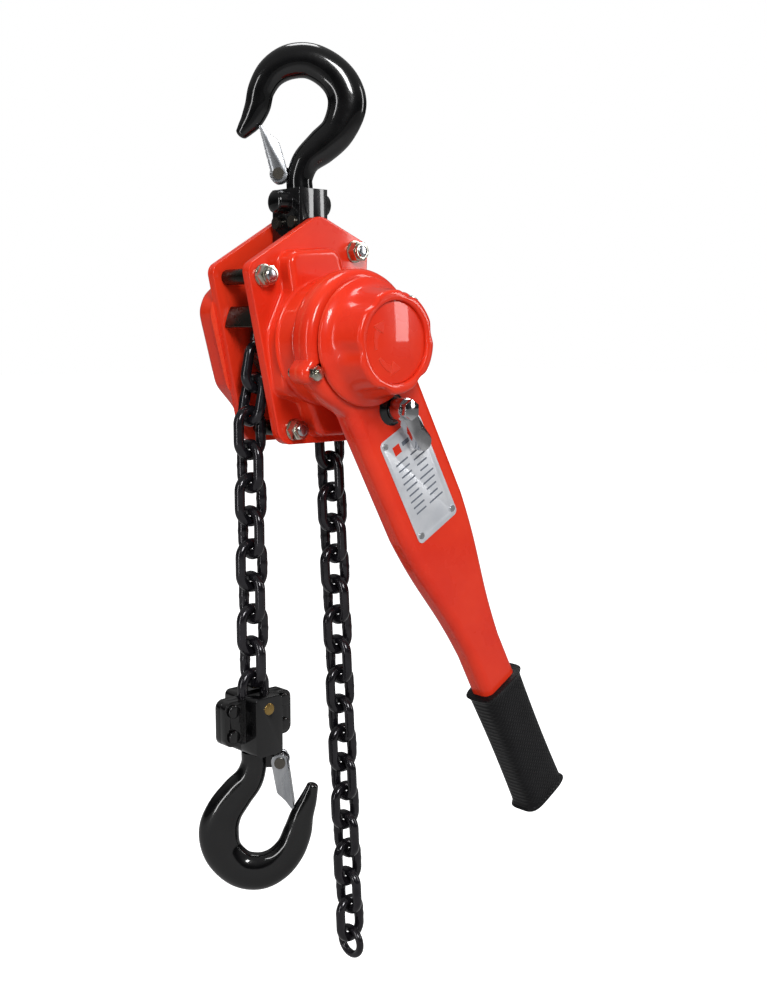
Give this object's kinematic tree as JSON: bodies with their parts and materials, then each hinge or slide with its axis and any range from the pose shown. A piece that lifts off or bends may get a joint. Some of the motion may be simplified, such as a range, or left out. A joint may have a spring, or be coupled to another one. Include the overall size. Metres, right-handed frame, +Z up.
{
  "type": "lever chain hoist",
  "caption": "Hand lever chain hoist: swivelling top and bottom hooks with latches, two-plate frame, gear and brake covers, ratchet lever, handwheel and link chain.",
  "frame": {"origin": "centre of the top hook's bowl, from which the hoist hangs", "axes": "+Z up along the load line, -Y towards the lever and handwheel side, +X to the right as seen from that side"},
  "size_m": [0.2979, 0.155, 0.7063],
  "materials": {
    "black_enamel": "gloss",
    "zinc_sheet": "bright zinc plating",
    "dark_steel": "dark oiled",
    "spring_steel": "drawn",
    "bright_steel": "machined",
    "red_enamel": "gloss",
    "zinc_nuts": "yellowish zinc plating",
    "brass": "machined",
    "brass_pin": "satin",
    "chain_steel": "black oxide, oiled",
    "brake_lining": "pressed lining",
    "grip_rubber": "textured",
    "label_plate": "printed aluminium",
    "chrome": "polished"
  },
  "bodies": {
    "top_hook_body": {"top_hook": "black_enamel", "top_latch_rivet": "dark_steel", "top_latch_spring": "spring_steel"},
    "top_latch_body": {"top_latch": "zinc_sheet"},
    "yoke_body": {"top_yoke_left": "black_enamel", "top_yoke_right": "black_enamel", "top_yoke_bolts": "dark_steel"},
    "frame_body": {"brake_side_plate": "red_enamel", "gear_side_plate": "red_enamel", "stay_bolts": "dark_steel", "stay_nuts": "zinc_nuts", "gear_cover": "red_enamel", "brake_cover": "red_enamel", "chain_guide": "dark_steel", "sheave_bearings": "bright_steel", "pinion_bush": "brass", "pawl_pins": "bright_steel", "pawl_springs": "spring_steel", "top_pin": "bright_steel"},
    "sheave_body": {"load_sheave": "dark_steel", "load_gear": "bright_steel", "sheave_links": "chain_steel"},
    "drive_body": {"pinion_shaft": "bright_steel", "brake_hub": "bright_steel", "inner_friction_disc": "brake_lining", "outer_friction_disc": "brake_lining", "change_gear": "bright_steel", "handwheel": "red_enamel", "handwheel_nut": "zinc_nuts", "handwheel_cap": "red_enamel"},
    "ratchet_body": {"ratchet_disc": "dark_steel"},
    "upper_pawl_body": {"upper_pawl": "dark_steel"},
    "lower_pawl_body": {"lower_pawl": "dark_steel"},
    "upper_idler_body": {"upper_idler_gear": "bright_steel"},
    "lower_idler_body": {"lower_idler_gear": "bright_steel"},
    "lever_body": {"lever_back_shell": "red_enamel", "lever_front_shell": "red_enamel", "lever_bolts": "zinc_nuts", "grip": "grip_rubber", "name_plate": "label_plate", "plate_rivets": "bright_steel", "detent_plunger": "bright_steel", "detent_spring": "spring_steel"},
    "selector_body": {"change_pawl": "dark_steel", "selector_shaft": "bright_steel", "selector_knob": "chrome", "selector_nut": "chrome"},
    "load_body": {"load_chain": "chain_steel", "block_front": "black_enamel", "block_back": "black_enamel", "block_bolts": "black_enamel", "load_pin": "brass_pin"},
    "upper_lead_body": {"upper_lead_link": "chain_steel"},
    "lower_lead_body": {"lower_lead_link": "chain_steel"},
    "tail_body": {"tail_chain": "chain_steel", "end_ring": "chain_steel"},
    "bottom_hook_body": {"bottom_hook": "black_enamel", "bottom_latch_rivet": "dark_steel", "bottom_latch_spring": "spring_steel"},
    "bottom_latch_body": {"bottom_latch": "zinc_sheet"}
  },
  "joints": [
    {"name": "top_latch_pivot", "type": "hinge", "parent": "top_hook_body", "child": "top_latch_body", "pos_m": [-0.01075, 0.01002, -0.0465], "axis": [0.682, 0.7314, 0], "range_deg": [0, 34], "stiffness_Nm_per_rad": 0.02, "springref_deg": -34.38},
    {"name": "hook_swivel", "type": "hinge", "parent": "top_hook_body", "child": "yoke_body", "pos_m": [0, 0, -0.065], "axis": [0, 0, 1], "continuous": true},
    {"name": "yoke_swing", "type": "hinge", "parent": "yoke_body", "child": "frame_body", "pos_m": [0, 0, -0.096], "axis": [0, 1, 0], "range_deg": [-30, 30]},
    {"name": "drive_spin", "type": "hinge", "parent": "frame_body", "child": "drive_body", "pos_m": [-0.007, 0, -0.166], "axis": [0, 1, 0], "range_deg": [0, 270]},
    {"name": "sheave_spin", "type": "hinge", "parent": "frame_body", "child": "sheave_body", "pos_m": [-0.007, 0, -0.166], "axis": [0, 1, 0], "range_deg": [0, 45]},
    {"name": "upper_idler_spin", "type": "hinge", "parent": "frame_body", "child": "upper_idler_body", "pos_m": [-0.01139, 0, -0.13027], "axis": [0, 1, 0], "range_deg": [-90, 0]},
    {"name": "lower_idler_spin", "type": "hinge", "parent": "frame_body", "child": "lower_idler_body", "pos_m": [-0.00261, 0, -0.20173], "axis": [0, 1, 0], "range_deg": [-90, 0]},
    {"name": "load_run", "type": "slide", "parent": "frame_body", "child": "load_body", "axis": [0, 0, 1], "range_m": [0, 0.024]},
    {"name": "upper_lead_run", "type": "slide", "parent": "frame_body", "child": "upper_lead_body", "axis": [0.0671, 0, 0.9977], "range_m": [0, 0.02393]},
    {"name": "lower_lead_run", "type": "slide", "parent": "frame_body", "child": "lower_lead_body", "axis": [0.0372, 0, 0.9993], "range_m": [0, 0.02399]},
    {"name": "tail_run", "type": "slide", "parent": "frame_body", "child": "tail_body", "axis": [0.0489, 0, -0.9988], "range_m": [0, 0.023]},
    {"name": "ratchet_play", "type": "hinge", "parent": "frame_body", "child": "ratchet_body", "pos_m": [-0.007, 0, -0.166], "axis": [0, 1, 0], "range_deg": [-1, 1]},
    {"name": "upper_pawl_pivot", "type": "hinge", "parent": "frame_body", "child": "upper_pawl_body", "pos_m": [-0.021, 0, -0.12], "axis": [0, -1, 0], "range_deg": [0, 12], "stiffness_Nm_per_rad": 0.02, "springref_deg": -22.92},
    {"name": "lower_pawl_pivot", "type": "hinge", "parent": "frame_body", "child": "lower_pawl_body", "pos_m": [0.007, 0, -0.212], "axis": [0, -1, 0], "range_deg": [0, 12], "stiffness_Nm_per_rad": 0.02, "springref_deg": -22.92},
    {"name": "lever_turn", "type": "hinge", "parent": "frame_body", "child": "lever_body", "pos_m": [-0.007, 0, -0.166], "axis": [0, 1, 0], "continuous": true},
    {"name": "selector_turn", "type": "hinge", "parent": "lever_body", "child": "selector_body", "pos_m": [0.01829, 0, -0.21258], "axis": [0, 1, 0], "range_deg": [-18, 18]},
    {"name": "bottom_hook_swivel", "type": "hinge", "parent": "load_body", "child": "bottom_hook_body", "pos_m": [-0.04782, 0, -0.46494], "axis": [0, 0, 1], "continuous": true},
    {"name": "bottom_latch_pivot", "type": "hinge", "parent": "bottom_hook_body", "child": "bottom_latch_body", "pos_m": [-0.03356, -0.0133, -0.47294], "axis": [0.682, 0.7314, 0], "range_deg": [0, 34], "stiffness_Nm_per_rad": 0.02, "springref_deg": -34.38}
  ],
  "couplings": [
    {"joint": "sheave_spin", "follows": "drive_spin", "ratio": 0.16667},
    {"joint": "upper_idler_spin", "follows": "drive_spin", "ratio": -0.33333},
    {"joint": "lower_idler_spin", "follows": "drive_spin", "ratio": -0.33333},
    {"joint": "load_run", "follows": "drive_spin", "m_per_rad": 0.0050929},
    {"joint": "upper_lead_run", "follows": "drive_spin", "m_per_rad": 0.0050779},
    {"joint": "lower_lead_run", "follows": "drive_spin", "m_per_rad": 0.0050904},
    {"joint": "tail_run", "follows": "drive_spin", "m_per_rad": 0.0048807}
  ]
}
